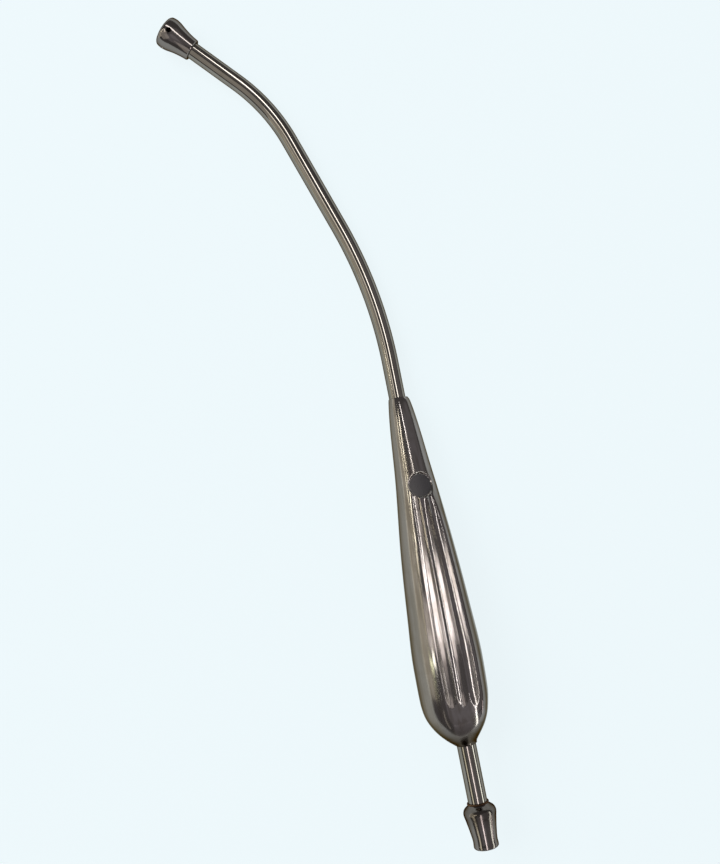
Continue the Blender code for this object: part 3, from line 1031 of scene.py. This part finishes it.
@dataclass
class Studio:
    """The pale floor, the lamps, the surroundings and the camera."""

    floor_colour: Colour = (0.86, 0.93, 0.98)
    floor_glow: Colour = (0.884, 0.973, 1.0)
    glow_share: float = 0.9
    floor_roughness: float = 0.9
    floor_drop: float = 0.05 * MM
    flat_rings: Sequence[float] = (0.02, 1.0, 2.5)
    flat_reach: float = 4.2
    sweep_reach: float = 6.0
    sweep_rise: float = 0.6
    sweep_rings: int = 16
    floor_sides: int = 96
    surroundings: Colour = (0.15, 0.146, 0.151)
    camera_place: Spot = (-0.0028806, 0.0205029, 0.3344334)
    camera_looks: Spot = (0.0002341, -0.0873889, -0.9961742)
    camera_up: Spot = (0.9823537, -0.186297, 0.0165737)
    lens: float = 41.6667
    sensor_height: float = 36.0
    nearest: float = 0.01
    lamps: Sequence[PanelLamp] = (
        PanelLamp("ceiling_tube", (-1.3, -0.4, 1.5), (0.8, 0.22, 1.5), 0.05, 14.0, aim=Aim.HANDLE),
        PanelLamp("ceiling_tube_ahead", (0.2, -0.25, 1.5), (0.98, -0.47, 1.5), 0.2, 7.0, aim=Aim.TUBE),
        PanelLamp("ceiling_tube_over_tip", (-0.09, -1.17, 1.5), (1.37, 0.34, 1.5), 0.2, 6.0, aim=Aim.TIP),
        PanelLamp("rear_middle", (-2.2, 0.12, 1.5), (0.3, 0.12, 1.5), 0.2, 4.5, (1.0, 0.92, 0.96),
                  Aim.REAR),
        PanelLamp("rear_left", (-2.4, 2.4, 1.5), (0.3, 2.4, 1.5), 0.6, 1.8, (1.0, 0.97, 0.78),
                  Aim.REAR),
        PanelLamp("rear_right", (-1.6, -1.14, 0.6), (0.3, -1.14, 0.6), 0.2, 4.5, (0.93, 1.0, 0.96),
                  Aim.REAR),
        PanelLamp("ceiling_panel", (0.11, 1.05, 1.5), (0.11, 0.2, 1.5), 0.19, 5.0,
                  (1.0, 0.97, 0.97), Aim.HANDLE),
        PanelLamp("ceiling_panel_rear", (-0.07, 0.8, 1.5), (-0.07, 0.3, 1.5), 0.15, 2.4,
                  (1.0, 0.95, 0.94), Aim.HANDLE),
        PanelLamp("ceiling_panel_end", (-0.22, 0.7, 1.5), (-0.22, 0.38, 1.5), 0.14, 0.7,
                  (1.0, 0.93, 0.92), Aim.HANDLE),
        PanelLamp("rosy_panel", (0.02, 2.5, 1.5), (0.02, 1.15, 1.5), 0.13, 1.9, (1.0, 0.94, 0.93),
                  Aim.HANDLE),
        PanelLamp("green_pane", (-0.18, 1.95, 1.5), (-0.18, 1.5, 1.5), 0.18, 8.0,
                  (0.98, 1.0, 0.92), Aim.HANDLE),
        PanelLamp("yellow_pane_rear", (-0.33, 3.0, 1.5), (-0.33, 2.2, 1.5), 0.12, 9.0,
                  (0.93, 1.0, 0.7), Aim.HANDLE),
        PanelLamp("yellow_pane", (0.32, 2.35, 1.5), (0.32, 2.05, 1.5), 0.12, 6.0,
                  (1.0, 0.97, 0.78), Aim.HANDLE),
        PanelLamp("yellow_pane_beyond", (0.14, 3.1, 1.5), (0.14, 2.7, 1.5), 0.14, 3.0,
                  (1.0, 0.97, 0.78), Aim.HANDLE),
        PanelLamp("warm_tube", (0.76, 1.02, 1.5), (0.38, 2.0, 1.5), 0.06, 11.0, (1.0, 0.97, 0.8)),
        PanelLamp("warm_tube_beyond", (1.0, 2.3, 1.5), (0.58, 2.8, 1.5), 0.1, 7.0, (1.0, 0.97, 0.75)),
        PanelLamp("warm_ceiling", (0.03, 0.8, 1.51), (0.6, 0.72, 1.51), 0.2, 2.3,
                  (1.0, 0.96, 0.87), Aim.FRONT),
        PanelLamp("warm_ceiling_glow", (0.0, 1.5, 1.52), (0.9, 1.5, 1.52), 1.7, 0.45,
                  (1.0, 0.96, 0.88), Aim.FRONT),
        PanelLamp("warm_ceiling_rear", (-1.7, 1.3, 1.52), (0.1, 1.3, 1.52), 1.8, 0.48,
                  (1.0, 0.96, 0.87), Aim.FRONT),
        PanelLamp("window", (-1.2, -0.4, 1.5), (-1.85, -0.8, 0.1), 0.13, 8.0, (0.93, 1.0, 0.98),
                  Aim.HANDLE),
        PanelLamp("dim_streak_left", (-0.9, 1.75, 1.5), (-1.8, 0.9, 0.57), 0.1, 0.7,
                  (1.0, 0.97, 0.85), Aim.HANDLE),
        PanelLamp("tick", (-0.2, 0.22, 1.5), (-0.33, 0.3, 1.5), 0.06, 4.0, aim=Aim.HANDLE),
        PanelLamp("window_edge", (-0.83, -1.5, 0.556), (-1.27, -1.27, 0.157), 0.08, 5.0, (1.0, 0.9, 0.95)),
        PanelLamp("left_wall", (-0.6, 2.5, 0.66), (2.4, 2.5, 0.66), 1.3, 0.75, (1.0, 0.97, 0.8)),
        PanelLamp("dim_ceiling", (-1.5, -1.0, 1.52), (0.9, -1.0, 1.52), 2.8, 0.13, (0.93, 0.9, 1.0)),
        PanelLamp("dim_ceiling_rear", (-2.4, 0.3, 1.5), (-0.4, 0.3, 1.5), 1.4, 0.19, (0.93, 0.9, 1.0)),
        PanelLamp("rear_wall", (-2.4, -2.0, 0.75), (-2.4, 0.8, 0.75), 1.5, 0.19, (0.93, 0.9, 1.0)),
        PanelLamp("key_softbox", (0.3, 1.6, 1.5), (1.9, 0.7, 1.5), 1.3, 4.8, (0.9, 0.97, 1.0),
                  Aim.FLOOR),
    )

    def build(self) -> None:
        """Sets up the studio."""
        self._floor()
        self._surroundings()
        for lamp in self.lamps:
            lamp.build()
        self._camera()
        scene = bpy.context.scene
        scene.view_settings.view_transform = "Standard"
        LOG.info("studio: %d lamps", len(self.lamps))

    def _floor(self) -> None:
        """A plain, pale floor just below the instrument, swept up all round behind the lamps."""
        rings = np.linspace(self.flat_reach, self.sweep_reach, self.sweep_rings)
        reach = np.concatenate([self.flat_rings, rings])
        climb = (reach - self.flat_reach) / (self.sweep_reach - self.flat_reach)
        height = np.clip(climb, 0, 1) ** 2 * self.sweep_rise
        sides, turn = self.floor_sides, full_circle(self.floor_sides)
        points = np.stack([reach[:, None] * np.cos(turn), reach[:, None] * np.sin(turn),
                           np.repeat(height[:, None], sides, axis=1)], axis=-1)
        faces = [tuple(range(sides))]
        for low in range(0, sides * (len(reach) - 1), sides):
            high = low + sides
            faces += [(low + i, high + i, high + (i + 1) % sides, low + (i + 1) % sides)
                      for i in range(sides)]
        mesh = bpy.data.meshes.new("floor")
        mesh.from_pydata(points.reshape(-1, 3).tolist(), [], faces)
        mesh.shade_smooth()
        mesh.materials.append(self._floor_material())
        floor = new_object("floor", mesh)
        floor.location.z = -self.floor_drop

    def _floor_material(self) -> bpy.types.Material:
        """The floor's plain paint, which keeps a shadow and glows a little.

        Returns:
            The material.
        """
        material = bpy.data.materials.new("pale_floor")
        material.use_nodes = True
        nodes, links = material.node_tree.nodes, material.node_tree.links
        sheet = NodeSheet(material.node_tree)
        paint = sheet.put(nodes["Principled BSDF"], Base_Color=self.floor_colour,
                          Roughness=self.floor_roughness, Specular_IOR_Level=0.0)
        rays = sheet.add("ShaderNodeLightPath").outputs
        seen = sheet.math("ADD", sheet.math("ADD", rays["Is Camera Ray"], rays["Is Glossy Ray"]),
                          rays["Is Transmission Ray"])
        glow = sheet.put(sheet.add("ShaderNodeEmission"), Color=self.floor_glow)
        both = sheet.put(sheet.add("ShaderNodeMixShader"), Fac=sheet.share(seen, self.glow_share))
        links.new(paint.outputs[0], both.inputs[1])
        links.new(glow.outputs[0], both.inputs[2])
        links.new(both.outputs[0], nodes["Material Output"].inputs[0])
        return material

    def _surroundings(self) -> None:
        """An even, dim room."""
        world = bpy.data.worlds.new("room")
        world.use_nodes = True
        NodeSheet(world.node_tree).put(world.node_tree.nodes["Background"], Color=self.surroundings)
        bpy.context.scene.world = world

    def _camera(self) -> None:
        """The camera, above the instrument."""
        data = bpy.data.cameras.new("camera")
        data.sensor_fit = "VERTICAL"
        data.sensor_height = self.sensor_height
        data.lens = self.lens
        data.clip_start = self.nearest
        camera = new_object("camera", data)
        back = -Vector(self.camera_looks).normalized()
        right = Vector(self.camera_up).cross(back).normalized()
        turn = Matrix((right, back.cross(right), back)).transposed().to_4x4()
        camera.matrix_world = Matrix.Translation(self.camera_place) @ turn
        bpy.context.scene.camera = camera


@dataclass
class Instrument:
    """The whole instrument."""

    place: RestingPlace = field(default_factory=RestingPlace)
    tube: FrontTube = field(default_factory=FrontTube)
    rear: RearTube = field(default_factory=RearTube)
    tip: BellTip = field(default_factory=BellTip)
    olive: HoseOlive = field(default_factory=HoseOlive)
    handle: GripHandle = field(default_factory=GripHandle)
    tube_steel: SteelFinish = SteelFinish(
        "drawn_tube_steel", (0.26, 0.238, 0.21), (0.19, 0.17, 0.138), 0.065,
        grain_height=0.0003, waviness=0.012, edge_tint=(0.2, 0.165, 0.12))
    turned_steel: SteelFinish = SteelFinish(
        "turned_steel", (0.225, 0.202, 0.187), (0.15, 0.132, 0.112), 0.1,
        grain_height=0.0004, edge_tint=(0.2, 0.17, 0.13))
    olive_steel: SteelFinish = replace(
        turned_steel, name="olive_steel", heat_share=0.55, heat_reach=(-136.5 * MM, -141.0 * MM))
    handle_steel: HandleFinish = HandleFinish(
        "handle_steel", (0.275, 0.25, 0.236), (0.17, 0.148, 0.125), 0.12, grain_height=0.0002,
        streak_share=0.6, heat_share=0.93, heat_reach=(-113.5 * MM, -102.0 * MM))
    solder: SteelFinish = SteelFinish(
        "dark_solder", (0.12, 0.1, 0.08), (0.06, 0.045, 0.03), 0.45)
    braze: SteelFinish = SteelFinish(
        "brown_braze", (0.16, 0.09, 0.05), (0.05, 0.03, 0.02), 0.5)
    nose_ring: SolderRing = SolderRing(
        "nose_solder", -0.02 * MM, 2.75 * MM, 2.95 * MM, 0.12 * MM)
    butt_ring: SolderRing = SolderRing(
        "butt_solder", -114.2 * MM, 3.15 * MM, 3.4 * MM, 0.25 * MM)
    olive_ring: SolderRing = SolderRing(
        "olive_braze", -133.2 * MM, 3.15 * MM, 3.6 * MM, 0.3 * MM)
    collar_ring: SolderRing = SolderRing("collar_solder", 0.0, 2.75 * MM, 3.0 * MM, 0.12 * MM)

    def build(self) -> None:
        """Builds and dresses every piece."""
        place = self.place.matrix()
        tip_place = place @ self.tube.collar_frame()
        tube = self.tube.skin().build(place, self.tube_steel.build(), Slot.TUBE)
        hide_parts("front_tube")
        rear = self.rear.skin().build(place, tube.data.materials[0], Slot.TUBE)
        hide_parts("rear_tube")
        turned = self.turned_steel.build()
        tip = self.tip.skin().build(tip_place, turned, Slot.TURNED)
        for number in range(self.tip.holes):
            self.tip.drill(tip, tip_place, number)
        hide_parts("suction_tip")
        olive = self.olive.skin().build(place, self.olive_steel.build(), Slot.TURNED)
        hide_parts("hose_connector")
        handle = self.handle.skin().build(place, self.handle_steel.build(), Slot.HANDLE)
        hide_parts("handle_shell_upper", "handle_shell_lower")
        solder, braze = self.solder.build(), self.braze.build()
        self.nose_ring.skin().build(place, solder, Slot.HANDLE)
        self.butt_ring.skin().build(place, solder, Slot.HANDLE)
        self.olive_ring.skin().build(place, braze, Slot.TURNED)
        self.collar_ring.skin().build(tip_place, solder, Slot.TURNED)


def main() -> None:
    """Loads the frame, and builds the instrument and its studio."""
    logging.basicConfig(level=logging.INFO, format="%(name)s: %(message)s")
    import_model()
    SharedEffects().build()
    Instrument().build()
    Studio().build()


if __name__ == "__main__":
    main()
